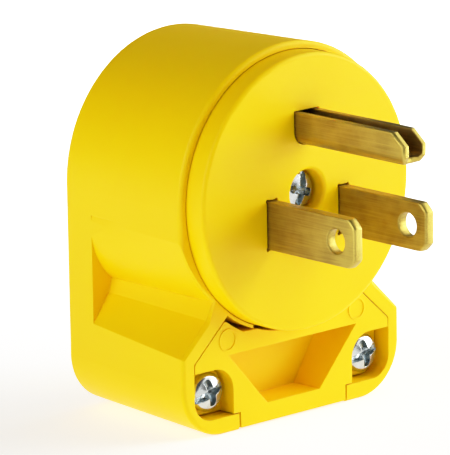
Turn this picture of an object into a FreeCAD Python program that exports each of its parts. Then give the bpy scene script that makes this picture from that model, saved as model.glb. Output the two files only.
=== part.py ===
import FreeCAD, Part
import math
import os

# Rewireable angle plug with two flat blades and a folded ground pin.
# The origin is the middle of the round mating face. The pins point along -Y and +Z is up.
# The cord leaves downwards.

# Pins
blade_spacing = 12.7
blade_width = 6.35
blade_thickness = 1.52
blade_length = 16.1
blade_drop = 3.26
blade_tip_cut = 1.3
blade_bevel = 0.35
blade_hole_radius = 1.6
blade_hole_from_tip = 3.5
blade_hole_bevel = 0.25
blade_shoulder_width = 8.2
blade_shoulder_depth = 1.2
blade_tab_gap = 1.76
blade_bend_radius = 1.9
blade_screw_shift = 0.2
ground_offset = 11.95
ground_length = 19.95
ground_width = 4.2
ground_height = 4.35
ground_wall = 0.9
ground_corner_radius = 1.7
ground_tip_cut = 2.0
ground_tip_drop = 1.65
ground_nose_cut = 0.7
ground_tip_bevel = 0.3
ground_tab_width = 6.0
ground_tab_gap = 0.225
ground_tab_thickness = 0.95
slot_clearance = 0.14
slot_relief_radius = 0.28

# Round face
face_radius = 18.3
face_stand_out = 3.2
face_plate = 4.0
face_edge_radius = 0.55
face_skirt_wall = 2.1
face_seat_depth = 3.8
screw_recess_radius = 2.95
screw_recess_depth = 2.7
screw_recess_lip = 0.5
key_width = 2.4
key_height = 0.9
key_depth = 1.6
key_clearance = 0.15

# Blade carrier
carrier_clearance = 0.25
carrier_thickness = 5.6
carrier_edge = 0.5
barrier_height = 2.6
barrier_thickness = 1.2
barrier_start = 5.2
barrier_angles = (32.0, 148.0, 270.0)

# Housing
body_depth = 23.5
body_wall = 1.1
body_foot = 12.4
body_corner_radius = 7.0
body_draft = 1.75
back_edge_radius = 0.9
rim_edge_radius = 0.55
face_clearance = 0.1
cavity_wall = 2.7
back_wall = 2.5
grip_flange = 5.5
grip_start = 4.1
grip_neck_angle = 43.2
grip_neck_wall = 0.55
grip_step_out = 1.15
grip_step_down = 2.2
grip_ramp_down = 4.4
grip_back_out = 1.8
grip_back_up = 0.7
grip_back_step_out = 0.6
grip_back_step_down = 1.9
grip_back_ramp_down = 3.8
grip_bulge_front = 0.75
grip_bulge_back = 1.1
grip_edge_cut = 0.35

# Clamp bay and cord channel
cheek_wall = 1.95
bay_depth = 5.8
bay_corner_radius = 3.0
floor_wall = 2.3
bay_slope = 42.5
bay_side_drop = 2.15
rim_gap_half = 7.0
foot_inset = 1.25
foot_gap = 0.3
foot_lift = 0.3
channel_half = 8.4
cord_axis_depth = 14.0
cord_hole_radius = 5.2
cord_bore_step = 0.3
channel_reach = 4.7

# Cord clamp
clamp_gap = 0.15
clamp_arc_outer_gap = 0.8
clamp_arc_inner_gap = 0.45
clamp_arc_inner_inset = 0.7
clamp_arc_outer_outset = 1.7
wing_drop = 3.45
wing_corner_radius = 0.5
wing_tip_radius = 0.8
clamp_side_inset = 3.25
ear_thickness = 3.2
ear_pad_radius = 3.0
ear_pad_height = 0.35
ear_corner_radius = 2.6
pocket_depth = 4.8
pocket_drop = 1.95
pocket_bottom_wall = 2.8
pocket_top_outset = 0.85
pocket_bottom_half = 4.7
pocket_top_taper = 2.2
pocket_bottom_taper = 0.2
mark_radius = 1.5
mark_out = 3.26
mark_angle = 57.58
mark_line = 0.22
mark_height = 0.12
jaw_gap = 0.2
jaw_drop = 2.2
jaw_reach = 2.0
jaw_rib_pitch = 2.0
jaw_rib_depth = 0.5
jaw_rib_width = 1.0
grip_block_depth = 7.0

# Screws, nuts and the insert
clamp_screw_inset = 5.5
clamp_screw_lift = 5.7
clamp_head_radius = 2.6
clamp_head_height = 1.75
clamp_screw_length = 12.0
clamp_shank_radius = 1.6
center_head_radius = 2.6
center_head_height = 1.75
center_screw_gap = 0.2
center_shank_radius = 1.6
terminal_head_radius = 2.9
terminal_head_height = 1.7
terminal_screw_length = 5.4
terminal_shank_radius = 1.7
shank_clearance = 0.25
thread_clearance = 0.08
head_dome_share = 2.0
head_fillet_share = 0.4
recess_depth_share = 0.55
slot_width = 0.9
cross_width = 0.95
cross_reach_share = 0.72
cross_floor_share = 0.45
shank_tip_share = 0.3
nut_size = 5.6
nut_thickness = 2.3
nut_clearance = 0.12
nut_edge = 0.28
insert_radius = 2.9
insert_length = 6.5
insert_clearance = 0.05
insert_groove_depth = 0.25
insert_groove_width = 0.7
boss_wall = 1.6
boss_length = 9.7
boss_rib_thickness = 1.4
plate_size = 6.0
plate_thickness = 0.8
plate_corner = 0.7
plate_groove_radius = 0.25
plate_groove_place = 1.65
screw_end_room = 1.5
terminal_turns = (15, 70, 40)
clamp_turns = (72, 75)
center_turn = 16

# Places worked out from the sizes above
body_radius = face_radius + body_wall
body_drop = face_radius + body_foot
grip_neck_radius = face_radius + grip_neck_wall
bay_side_z = face_radius + bay_side_drop
clamp_screw_x = body_radius - clamp_screw_inset
clamp_screw_z = body_drop - clamp_screw_lift
clamp_side_half = clamp_screw_x - clamp_side_inset
clamp_arc_inner_half = rim_gap_half - clamp_arc_inner_inset
clamp_arc_outer_start = rim_gap_half + clamp_arc_outer_outset
foot_half = clamp_side_half - foot_inset
wing_bottom_z = face_radius + wing_drop
pocket_top_z = face_radius + pocket_drop
pocket_bottom_z = body_drop - pocket_bottom_wall
pocket_top_half = clamp_side_half + pocket_top_outset
pocket_floor_top_half = pocket_top_half - pocket_top_taper
pocket_floor_bottom_half = pocket_bottom_half - pocket_bottom_taper
jaw_half = channel_half - jaw_gap
jaw_top_z = face_radius + jaw_drop
cord_jaw_radius = cord_hole_radius - cord_bore_step
rim_y = face_stand_out
back_y = rim_y + body_depth
seat_y = rim_y + face_seat_depth
inner_back_y = back_y - back_wall
flange_y = back_y - grip_flange
bay_back_y = rim_y + bay_depth
carrier_front_y = face_plate
carrier_back_y = carrier_front_y + carrier_thickness
cavity_radius = body_radius - cavity_wall
channel_top = cavity_radius - channel_reach
draft_slope = math.tan(math.radians(body_draft))
blade_x = blade_spacing / 2
blade_z = -blade_drop
ground_z = ground_offset - blade_drop
carrier_radius = face_radius - face_skirt_wall - carrier_clearance
blade_tab_end = carrier_radius - blade_tab_gap
blade_screw_x = (blade_x + blade_thickness / 2 + blade_tab_end) / 2 + blade_screw_shift
ground_tab_top = carrier_radius - ground_tab_gap
ground_screw_z = ground_tab_top - plate_size / 2
ear_front_y = bay_back_y - ear_thickness
clamp_head_seat_y = ear_front_y - ear_pad_height
center_head_seat_y = screw_recess_depth
boss_front_depth = inner_back_y - boss_length
center_screw_length = boss_front_depth + insert_length - center_screw_gap - center_head_seat_y
floor_z = -(body_drop - floor_wall)

along_y = FreeCAD.Vector(0, 1, 0)
far = 2 * (body_drop + body_depth)
tolerance = 0.01
diagonal = math.sqrt(0.5)
overlap = 0.4


def point(x, y, z):
    return FreeCAD.Vector(x, y, z)


def box(x0, x1, y0, y1, z0, z1):
    return Part.makeBox(x1 - x0, y1 - y0, z1 - z0, point(x0, y0, z0))


def rod(radius, x, z, y0, y1):
    return Part.makeCylinder(radius, y1 - y0, point(x, y0, z), along_y)


def path(y, start, moves):
    """A closed wire in the plane at depth y. A move is an end point, or for an arc its middle and its end."""
    edges = []
    here = point(start[0], y, start[1])
    for move in moves:
        if len(move) == 2:
            middle = point(move[0][0], y, move[0][1])
            there = point(move[1][0], y, move[1][1])
            edges.append(Part.Arc(here, middle, there).toShape())
        else:
            there = point(move[0][0], y, move[0][1])
            edges.append(Part.LineSegment(here, there).toShape())
        here = there
    return Part.Wire(edges)


def line(x, z):
    return ((x, z),)


def arc(middle, end):
    return (middle, end)


def prism(wire, depth):
    return Part.Face(wire).extrude(point(0, depth, 0))


def mirrored(shape):
    return shape.mirror(point(0, 0, 0), point(1, 0, 0))


def on_circle(radius, degrees):
    angle = math.radians(degrees)
    return (radius * math.cos(angle), radius * math.sin(angle))


def quarter_middle(center, radius, degrees):
    x, z = on_circle(radius, degrees)
    return (center[0] + x, center[1] + z)


def edges_at(shape, y):
    """The edges of a shape that lie wholly in the plane at depth y."""
    return [e for e in shape.Edges
            if abs(e.BoundBox.YMin - y) < tolerance and abs(e.BoundBox.YMax - y) < tolerance]


def rings_at(shape, y, radius):
    """The full circles of one radius round the Y axis at depth y."""
    return [e for e in edges_at(shape, y) if abs(e.BoundBox.XLength - 2 * radius) < tolerance]


def upright_at(shape, place):
    """The straight edges along Y through a place in the XZ plane."""
    return [e for e in shape.Edges
            if e.BoundBox.XLength < tolerance and e.BoundBox.ZLength < tolerance
            and math.hypot(e.BoundBox.XMin - place[0], e.BoundBox.ZMin - place[1]) < tolerance]


# Housing

def body_section(y):
    """The D outline of the body at depth y, smaller towards the back by the draft."""
    shrink = (y - rim_y) * draft_slope
    radius = body_radius - shrink
    bottom = shrink - body_drop
    corner = body_corner_radius
    left = (corner - radius, bottom + corner)
    right = (radius - corner, bottom + corner)
    return path(y, (radius, 0), [
        arc((0, radius), (-radius, 0)),
        line(-radius, left[1]),
        arc(quarter_middle(left, corner, 225), (left[0], bottom)),
        line(right[0], bottom),
        arc(quarter_middle(right, corner, 315), (radius, right[1])),
        line(radius, 0)])


def arc_before(start, middle, end):
    """The point on the circle through three points that lies a short way before the start."""
    bow = Part.Arc(point(start[0], 0, start[1]), point(middle[0], 0, middle[1]), point(end[0], 0, end[1]))
    circle = bow.toShape().Curve
    center = circle.Center
    across = (start[0] - center.x, start[1] - center.z)
    turn = 2 * overlap / circle.Radius
    return (center.x + across[0] * math.cos(turn) - across[1] * math.sin(turn),
            center.z + across[0] * math.sin(turn) + across[1] * math.cos(turn))


def grip_section(y, neck, bulge, steps, side):
    """What a finger grip takes off one side at depth y: a curve in to the neck, a step and a ramp."""
    out, down, ramp = steps
    start = (side, -grip_start)
    chord = (neck[0] - start[0], neck[1] - start[1])
    length = math.hypot(chord[0], chord[1])
    middle = ((start[0] + neck[0]) / 2 - bulge * chord[1] / length,
              (start[1] + neck[1]) / 2 + bulge * chord[0] / length)
    outside = arc_before(start, middle, neck)
    step = (neck[0] + out, neck[1] - down)
    ramp_share = 1 + overlap / ramp
    ramp_end = (step[0] + (side - step[0]) * ramp_share, step[1] - ramp * ramp_share)
    open_side = side + body_wall
    return path(y, outside, [
        arc(middle, neck),
        line(step[0], step[1]),
        line(ramp_end[0], ramp_end[1]),
        line(open_side, ramp_end[1]),
        line(open_side, outside[1]),
        line(outside[0], outside[1])])


def grip_cut():
    """The hollow that one finger grip leaves, deepest at the rim and ending at the back flange."""
    neck = on_circle(grip_neck_radius, -grip_neck_angle)
    back_neck = (neck[0] + grip_back_out, neck[1] + grip_back_up)
    back_side = body_radius - (flange_y - rim_y) * draft_slope
    front_steps = (grip_step_out, grip_step_down, grip_ramp_down)
    back_steps = (grip_back_step_out, grip_back_step_down, grip_back_ramp_down)
    front = grip_section(rim_y, neck, grip_bulge_front, front_steps, body_radius)
    back = grip_section(flange_y, back_neck, grip_bulge_back, back_steps, back_side)
    return Part.makeLoft([front, back], True, True)


def grip_edge():
    """The bevel along the front edge of one finger grip."""
    neck = on_circle(grip_neck_radius, -grip_neck_angle)
    inner_neck = on_circle(grip_neck_radius - grip_edge_cut, -grip_neck_angle)
    steps = (grip_step_out, grip_step_down, grip_ramp_down)
    wide_steps = (grip_step_out, grip_step_down + 2 * grip_edge_cut, grip_ramp_down)
    front = grip_section(rim_y, inner_neck, grip_bulge_front, wide_steps, body_radius)
    back = grip_section(rim_y + grip_edge_cut, neck, grip_bulge_front, steps, body_radius)
    return Part.makeLoft([front, back], True, True)


def bay_corners(gap, radius):
    """Where the bay's sloping wall, moved inwards by a gap, meets a circle round the face and the side wall."""
    slope = math.radians(bay_slope)
    side = body_radius - cheek_wall
    low = (side - gap, -bay_side_z - gap * math.tan(math.radians(45) - slope / 2))
    along = low[1] * math.sin(slope) - low[0] * math.cos(slope)
    reach = -along - math.sqrt(along ** 2 - low[0] ** 2 - low[1] ** 2 + radius ** 2)
    top = (low[0] - reach * math.cos(slope), low[1] + reach * math.sin(slope))
    return top, low


def arc_to(end, radius, start_angle):
    """An arc round the origin from an angle in degrees to an end point on the same circle."""
    end_angle = math.degrees(math.atan2(end[1], end[0]))
    return arc(on_circle(radius, (start_angle + end_angle) / 2), end)


def bay_outline(y):
    """The right half of the clamp bay seen from the front. Its top edge is the rim under the face."""
    rim = grip_neck_radius
    top, low = bay_corners(0, rim)
    corner = (low[0] - bay_corner_radius, floor_z + bay_corner_radius)
    return path(y, (0, -rim), [
        arc_to(top, rim, -90),
        line(low[0], low[1]),
        line(low[0], corner[1]),
        arc(quarter_middle(corner, bay_corner_radius, 315), (corner[0], floor_z)),
        line(0, floor_z),
        line(0, -rim)])


def housing_boss():
    """The hollow boss on the back wall that holds the insert, with three ribs to the wall."""
    outer = insert_radius + boss_wall
    boss = rod(outer, 0, 0, boss_front_depth, inner_back_y)
    rib = box(0, cavity_radius + overlap, boss_front_depth + insert_length, inner_back_y,
              -boss_rib_thickness / 2, boss_rib_thickness / 2)
    for angle in (30, 90, 150):
        turned = rib.copy()
        turned.rotate(point(0, 0, 0), along_y, -angle)
        boss = boss.fuse(turned)
    return boss


def housing_keys():
    """Small ribs in the seat that stop the round face turning."""
    reach = face_radius + face_clearance
    key = box(reach - key_height, reach + overlap, seat_y - key_depth, seat_y, -key_width / 2, key_width / 2)
    keys = []
    for angle in (0, 90, 180):
        turned = key.copy()
        turned.rotate(point(0, 0, 0), along_y, -angle)
        keys.append(turned)
    return keys


def housing():
    body = Part.makeLoft([body_section(rim_y), body_section(back_y)], True, True)
    body = body.makeFillet(back_edge_radius, edges_at(body, back_y))
    body = body.makeFillet(rim_edge_radius, edges_at(body, rim_y))
    for grip in (grip_cut(), grip_edge()):
        body = body.cut(grip).cut(mirrored(grip))

    seat = rod(face_radius + face_clearance, 0, 0, rim_y, seat_y)
    cavity = rod(cavity_radius, 0, 0, seat_y, inner_back_y)
    channel = box(-channel_half, channel_half, bay_back_y, inner_back_y, floor_z, -channel_top)
    body = body.cut(seat).cut(cavity).cut(channel)

    bay = prism(bay_outline(rim_y), bay_depth)
    body = body.cut(bay).cut(mirrored(bay))
    rim_gap = box(-rim_gap_half, rim_gap_half, rim_y, seat_y, -grip_neck_radius, seat_y - face_radius)
    neck_gap = box(-channel_half, channel_half, seat_y, bay_back_y, -body_radius, -channel_top)
    foot_gap_box = box(-foot_half - foot_gap, foot_half + foot_gap, rim_y, bay_back_y, -far, floor_z)
    body = body.cut(rim_gap).cut(neck_gap).cut(foot_gap_box)

    cord_slot = box(-cord_hole_radius, cord_hole_radius, bay_back_y, cord_axis_depth, -far, floor_z)
    cord_hole = Part.makeCylinder(cord_hole_radius, far, point(0, cord_axis_depth, floor_z - far))
    body = body.cut(cord_slot).cut(cord_hole)

    for side in (-1, 1):
        x = side * clamp_screw_x
        hole = rod(clamp_shank_radius + shank_clearance, x, -clamp_screw_z, bay_back_y,
                   clamp_head_seat_y + clamp_screw_length + screw_end_room)
        half = nut_size / 2 + nut_clearance
        pocket = box(x - half, x + half, bay_back_y, bay_back_y + nut_thickness + nut_clearance,
                     -clamp_screw_z - half, -clamp_screw_z + half)
        body = body.cut(hole).cut(pocket)

    body = body.fuse(housing_boss())
    for key in housing_keys():
        body = body.fuse(key)
    insert_back_y = boss_front_depth + insert_length
    insert_hole = rod(insert_radius + insert_clearance, 0, 0, boss_front_depth, insert_back_y)
    pilot = rod(center_shank_radius + shank_clearance, 0, 0, boss_front_depth, inner_back_y)
    return body.cut(insert_hole).cut(pilot).removeSplitter()


# Round face and blade carrier

def blade_slot(y0, y1, x, width, relief):
    """A straight slot for a flat blade, with small round reliefs in its corners where it shows."""
    half = blade_thickness / 2 + slot_clearance
    tall = width / 2 + slot_clearance
    slot = box(x - half, x + half, y0, y1, blade_z - tall, blade_z + tall)
    if relief:
        for side in (-1, 1):
            for end in (-1, 1):
                relief_x = x + side * (half - slot_relief_radius / 2)
                relief_z = blade_z + end * (tall - slot_relief_radius / 2)
                slot = slot.fuse(rod(slot_relief_radius, relief_x, relief_z, y0, y1))
    return slot


def channel_outline(y, grow):
    """The outside of the folded ground pin, grown by a clearance."""
    half = ground_width / 2 + grow
    top = ground_z + ground_height / 2 + grow
    bottom = ground_z - ground_height / 2 - grow
    corner = ground_corner_radius + grow
    left = (corner - half, bottom + corner)
    right = (half - corner, bottom + corner)
    return path(y, (half, top), [
        line(-half, top),
        line(-half, left[1]),
        arc(quarter_middle(left, corner, 225), (left[0], bottom)),
        line(right[0], bottom),
        arc(quarter_middle(right, corner, 315), (half, right[1])),
        line(half, top)])


def face_disc():
    plate = rod(face_radius, 0, 0, 0, seat_y)
    plate = plate.makeFillet(face_edge_radius, edges_at(plate, 0))
    skirt_hollow = rod(face_radius - face_skirt_wall, 0, 0, face_plate, seat_y)
    plate = plate.cut(skirt_hollow)
    recess = rod(screw_recess_radius, 0, 0, 0, screw_recess_depth)
    through = rod(center_shank_radius + shank_clearance, 0, 0, 0, face_plate)
    plate = plate.cut(recess).cut(through)
    plate = plate.makeFillet(screw_recess_lip, rings_at(plate, 0, screw_recess_radius))
    for x in (-blade_x, blade_x):
        plate = plate.cut(blade_slot(0, face_plate, x, blade_width, True))
    plate = plate.cut(prism(channel_outline(0, slot_clearance), face_plate))
    notch_half = key_width / 2 + key_clearance
    notch = box(face_radius - key_height - key_clearance, face_radius + overlap,
                seat_y - key_depth - key_clearance, seat_y, -notch_half, notch_half)
    for angle in (0, 90, 180):
        turned = notch.copy()
        turned.rotate(point(0, 0, 0), along_y, -angle)
        plate = plate.cut(turned)
    return plate


def blade_carrier():
    disc = rod(carrier_radius, 0, 0, carrier_front_y, carrier_back_y)
    disc = disc.makeChamfer(carrier_edge, edges_at(disc, carrier_back_y))
    for angle in barrier_angles:
        wall = box(barrier_start, carrier_radius - 2 * carrier_edge, carrier_back_y,
                   carrier_back_y + barrier_height, -barrier_thickness / 2, barrier_thickness / 2)
        wall.rotate(point(0, 0, 0), along_y, -angle)
        disc = disc.fuse(wall)
    for x in (-blade_x, blade_x):
        disc = disc.cut(blade_slot(carrier_front_y, carrier_back_y, x, blade_width, False))
        disc = disc.cut(blade_slot(carrier_front_y, carrier_front_y + blade_shoulder_depth + slot_clearance, x,
                                   blade_shoulder_width, False))
    disc = disc.cut(prism(channel_outline(carrier_front_y, slot_clearance), carrier_thickness))
    disc = disc.cut(rod(center_shank_radius + shank_clearance, 0, 0, carrier_front_y, carrier_back_y))
    hole_start = carrier_back_y - terminal_screw_length + plate_thickness + blade_thickness - screw_end_room
    for x, z in terminal_places():
        disc = disc.cut(rod(terminal_shank_radius + shank_clearance, x, z, hole_start, carrier_back_y))
    return disc


# Pins

def terminal_places():
    return [(-blade_screw_x, blade_z), (blade_screw_x, blade_z), (0, ground_screw_z)]


def flat_blade():
    """The right-hand blade: one strip with a bevelled tip, bent outwards at the back into a tapped tab."""
    inner = blade_x - blade_thickness / 2
    outer = blade_x + blade_thickness / 2
    tab_back = carrier_back_y + blade_thickness
    bottom = blade_z - blade_width / 2
    top = blade_z + blade_width / 2
    bend_center = (inner + blade_bend_radius, tab_back - blade_bend_radius)
    bend_side = blade_bend_radius * diagonal
    bend_middle = point(bend_center[0] - bend_side, bend_center[1] + bend_side, bottom)
    corners = [point(inner, -blade_length, bottom), point(outer, -blade_length, bottom),
               point(outer, carrier_back_y, bottom), point(blade_tab_end, carrier_back_y, bottom),
               point(blade_tab_end, tab_back, bottom), point(bend_center[0], tab_back, bottom)]
    edges = [Part.LineSegment(a, b).toShape() for a, b in zip(corners, corners[1:])]
    bend_end = point(inner, bend_center[1], bottom)
    edges.append(Part.Arc(corners[-1], bend_middle, bend_end).toShape())
    edges.append(Part.LineSegment(bend_end, corners[0]).toShape())
    strip = Part.Face(Part.Wire(edges)).extrude(point(0, 0, blade_width))

    cut = blade_tip_cut
    outline = [point(0, -blade_length, bottom + cut), point(0, -blade_length, top - cut),
               point(0, cut - blade_length, top), point(0, tab_back, top),
               point(0, tab_back, bottom), point(0, cut - blade_length, bottom)]
    side = Part.Face(Part.makePolygon(outline + outline[:1])).extrude(point(far, 0, 0))
    strip = strip.common(side)
    tip = [e for e in strip.Edges
           if e.BoundBox.YMax < cut - blade_length + tolerance and e.BoundBox.XLength < tolerance]
    strip = strip.makeChamfer(blade_bevel, tip)

    hole_y = blade_hole_from_tip - blade_length
    hole = Part.makeCylinder(blade_hole_radius, far, point(0, hole_y, blade_z), point(1, 0, 0))
    strip = strip.cut(hole)
    rims = [e for e in strip.Edges
            if e.BoundBox.XLength < tolerance and abs(e.BoundBox.ZLength - 2 * blade_hole_radius) < tolerance]
    strip = strip.makeChamfer(blade_hole_bevel, rims)

    shoulder = box(inner, outer, carrier_front_y, carrier_front_y + blade_shoulder_depth,
                   blade_z - blade_shoulder_width / 2, blade_z + blade_shoulder_width / 2)
    thread = rod(terminal_shank_radius + thread_clearance, blade_screw_x, blade_z, carrier_back_y, tab_back)
    return strip.fuse(shoulder).cut(thread).removeSplitter()


def ground_pin():
    """A folded channel with cut tip corners, and an upright tapped tab behind the carrier."""
    half = ground_width / 2
    top = ground_z + ground_height / 2
    bottom = ground_z - ground_height / 2
    length = ground_length + carrier_back_y
    channel = prism(channel_outline(-ground_length, 0), length)
    inner_half = half - ground_wall
    floor = bottom + ground_wall
    corner = max(ground_corner_radius - ground_wall, ground_wall / 3)
    left = (corner - inner_half, floor + corner)
    right = (inner_half - corner, floor + corner)
    groove = prism(path(-ground_length, (inner_half, top + overlap), [
        line(-inner_half, top + overlap),
        line(-inner_half, left[1]),
        arc(quarter_middle(left, corner, 225), (left[0], floor)),
        line(right[0], floor),
        arc(quarter_middle(right, corner, 315), (inner_half, right[1])),
        line(inner_half, top + overlap)]), length)
    tip_edges = edges_at(channel, -ground_length)
    outer_edges = [e for e in tip_edges if e.BoundBox.ZMin < top - tolerance]
    channel = channel.makeChamfer(ground_tip_bevel, outer_edges)
    channel = channel.cut(groove)

    tip = -ground_length
    outline = [point(-half, tip, bottom + ground_nose_cut), point(-half, tip, top - ground_tip_drop),
               point(-half, tip + ground_tip_cut, top), point(-half, carrier_back_y, top),
               point(-half, carrier_back_y, bottom), point(-half, tip + ground_nose_cut, bottom)]
    side = Part.Face(Part.makePolygon(outline + outline[:1])).extrude(point(ground_width, 0, 0))
    channel = channel.common(side)

    tab_back = carrier_back_y + ground_tab_thickness
    tab = box(-ground_tab_width / 2, ground_tab_width / 2, carrier_back_y, tab_back, bottom, ground_tab_top)
    thread = rod(terminal_shank_radius + thread_clearance, 0, ground_screw_z, carrier_back_y, tab_back)
    return channel.fuse(tab).cut(thread).removeSplitter()


# Screws, plates, nuts and the insert

def pan_screw(head_radius, head_height, shank_radius, length):
    """A screw along Y, its head's seat at the origin and its head towards -Y with a slot and a cross."""
    head = rod(head_radius, 0, 0, -head_height, 0)
    dome = head_radius * head_dome_share
    head = head.common(Part.makeSphere(dome, point(0, dome - head_height, 0)))
    shoulder = [e for e in head.Edges
                if abs(e.BoundBox.XLength - 2 * head_radius) < tolerance and e.BoundBox.YMax < -tolerance]
    head = head.makeFillet(head_height * head_fillet_share, shoulder)
    depth = head_height * recess_depth_share
    slot = box(-slot_width / 2, slot_width / 2, -head_height, depth - head_height, -far, far)
    reach = head_radius * cross_reach_share
    wing = path(-head_height, (reach, cross_width / 2), [
        line(-reach, cross_width / 2), line(-reach, -cross_width / 2), line(reach, -cross_width / 2),
        line(reach, cross_width / 2)])
    low = reach * cross_floor_share
    wing_floor = path(depth - head_height, (low, cross_width / 3), [
        line(-low, cross_width / 3), line(-low, -cross_width / 3), line(low, -cross_width / 3),
        line(low, cross_width / 3)])
    cross = Part.makeLoft([wing, wing_floor], True, True)
    head = head.cut(slot).cut(cross)
    shank = rod(shank_radius, 0, 0, 0, length)
    shank = shank.makeChamfer(shank_radius * shank_tip_share, edges_at(shank, length))
    return head.fuse(shank)


def placed(shape, x, y, z, turn=0, flip=False):
    """A copy turned about its own Y axis, flipped end for end where asked, and moved to its place."""
    copy = shape.copy()
    copy.rotate(point(0, 0, 0), along_y, turn)
    if flip:
        copy.rotate(point(0, 0, 0), point(0, 0, 1), 180)
    copy.translate(point(x, y, z))
    return copy


def wire_plate():
    """A square pressure plate with two wire grooves, its front on the origin plane."""
    half = plate_size / 2
    plate = box(-half, half, 0, plate_thickness, -half, half)
    upright = [e for e in plate.Edges if e.BoundBox.YLength > plate_thickness / 2]
    plate = plate.makeFillet(plate_corner, upright)
    for side in (-1, 1):
        start = point(-half, 0, side * plate_groove_place)
        groove = Part.makeCylinder(plate_groove_radius, plate_size, start, point(1, 0, 0))
        plate = plate.cut(groove)
    return plate.cut(rod(terminal_shank_radius + shank_clearance, 0, 0, 0, plate_thickness))


def square_nut():
    half = nut_size / 2
    nut = box(-half, half, 0, nut_thickness, -half, half)
    nut = nut.makeChamfer(nut_edge, edges_at(nut, nut_thickness))
    return nut.cut(rod(clamp_shank_radius + thread_clearance, 0, 0, 0, nut_thickness))


def center_insert():
    insert = rod(insert_radius, 0, 0, boss_front_depth, boss_front_depth + insert_length)
    step = insert_length / 3
    for count in (1, 2):
        y = boss_front_depth + count * step - insert_groove_width / 2
        ring = rod(insert_radius + overlap, 0, 0, y, y + insert_groove_width)
        ring = ring.cut(rod(insert_radius - insert_groove_depth, 0, 0, y, y + insert_groove_width))
        insert = insert.cut(ring)
    return insert.cut(rod(center_shank_radius + thread_clearance, 0, 0, boss_front_depth,
                          boss_front_depth + insert_length))


# Cord clamp and rear grip

def clamp_half_outline(y):
    """The right half of the clamp seen from the front, clear of the rim above and of the bay's walls."""
    inner = face_radius + clamp_arc_inner_gap
    outer = grip_neck_radius + clamp_arc_outer_gap
    inner_end = (clamp_arc_inner_half, -math.sqrt(inner ** 2 - clamp_arc_inner_half ** 2))
    outer_start = (clamp_arc_outer_start, -math.sqrt(outer ** 2 - clamp_arc_outer_start ** 2))
    outer_angle = math.degrees(math.atan2(outer_start[1], outer_start[0]))
    top, low = bay_corners(clamp_gap, outer)
    corner = (low[0] - ear_corner_radius, floor_z + clamp_gap + ear_corner_radius)
    foot_z = foot_lift - body_drop
    return path(y, (0, -inner), [
        arc_to(inner_end, inner, -90),
        line(outer_start[0], outer_start[1]),
        arc_to(top, outer, outer_angle),
        line(low[0], low[1]),
        line(low[0], corner[1]),
        arc(quarter_middle(corner, ear_corner_radius, 315), (corner[0], floor_z + clamp_gap)),
        line(foot_half, floor_z + clamp_gap),
        line(foot_half, foot_z),
        line(0, foot_z),
        line(0, -inner)])


def screw_notch():
    """The space round the right-hand screw head, under the wing and open to the side and below."""
    center = (clamp_screw_x, -clamp_screw_z)
    top = -wing_bottom_z
    left = clamp_side_half
    radius = center[0] - left
    inset = radius * (1 - diagonal)
    return prism(path(rim_y, (center[0], top), [
        line(far, top),
        line(far, -far),
        line(left, -far),
        line(left, top - radius),
        arc((left + inset, top - inset), (center[0], top))]),
        ear_front_y - rim_y)


def trapezoid(y, top_half, bottom_half):
    return path(y, (top_half, -pocket_top_z), [
        line(-top_half, -pocket_top_z),
        line(-bottom_half, -pocket_bottom_z),
        line(bottom_half, -pocket_bottom_z),
        line(top_half, -pocket_top_z)])


def jaw_ribs(z0, z1, cut_depth):
    """Grooves across a half-round jaw, which leave ribs that bite the cord."""
    grooves = []
    count = int((z1 - z0) / jaw_rib_pitch)
    for step in range(count):
        start = point(0, cord_axis_depth, z0 + jaw_rib_pitch / 2 + step * jaw_rib_pitch)
        grooves.append(Part.makeCylinder(cord_jaw_radius + cut_depth, jaw_rib_width, start))
    return grooves


def cord_clamp():
    half = prism(clamp_half_outline(rim_y), bay_depth)
    top, low = bay_corners(clamp_gap, grip_neck_radius + clamp_arc_outer_gap)
    half = half.makeFillet(wing_corner_radius, upright_at(half, top))
    half = half.makeFillet(wing_tip_radius, upright_at(half, low))
    half = half.cut(screw_notch())
    pad = rod(ear_pad_radius, clamp_screw_x, -clamp_screw_z, clamp_head_seat_y, ear_front_y)
    half = half.fuse(pad)
    half = half.cut(rod(clamp_shank_radius + shank_clearance, clamp_screw_x, -clamp_screw_z, rim_y, bay_back_y))
    mark = on_circle(face_radius + mark_out, -mark_angle)
    ring = rod(mark_radius, mark[0], mark[1], rim_y - mark_height, rim_y)
    ring = ring.cut(rod(mark_radius - mark_line, mark[0], mark[1], rim_y - mark_height, rim_y))
    half = half.fuse(ring)
    clamp = half.fuse(mirrored(half)).removeSplitter()

    pocket = Part.makeLoft([trapezoid(rim_y, pocket_top_half, pocket_bottom_half),
                            trapezoid(rim_y + pocket_depth, pocket_floor_top_half, pocket_floor_bottom_half)],
                           True, True)
    clamp = clamp.cut(pocket)

    jaw_bottom = floor_z + clamp_gap
    jaw = box(-jaw_half, jaw_half, bay_back_y, bay_back_y + jaw_reach, jaw_bottom, -jaw_top_z)
    bore = Part.makeCylinder(cord_jaw_radius, far, point(0, cord_axis_depth, -far))
    jaw = jaw.cut(bore)
    for groove in jaw_ribs(jaw_bottom, -jaw_top_z, jaw_rib_depth):
        jaw = jaw.cut(groove)
    return clamp.fuse(jaw)


def rear_cord_grip():
    """The fixed jaw: a block on the housing's floor and back wall, with the other half of the cord's bore."""
    bottom = floor_z
    half = jaw_half
    front = inner_back_y - grip_block_depth
    block = box(-half, half, front, inner_back_y, bottom, -jaw_top_z)
    bore = Part.makeCylinder(cord_jaw_radius, far, point(0, cord_axis_depth, -far))
    block = block.cut(bore)
    for groove in jaw_ribs(bottom, -jaw_top_z, jaw_rib_depth):
        block = block.cut(groove)
    return block


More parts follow.
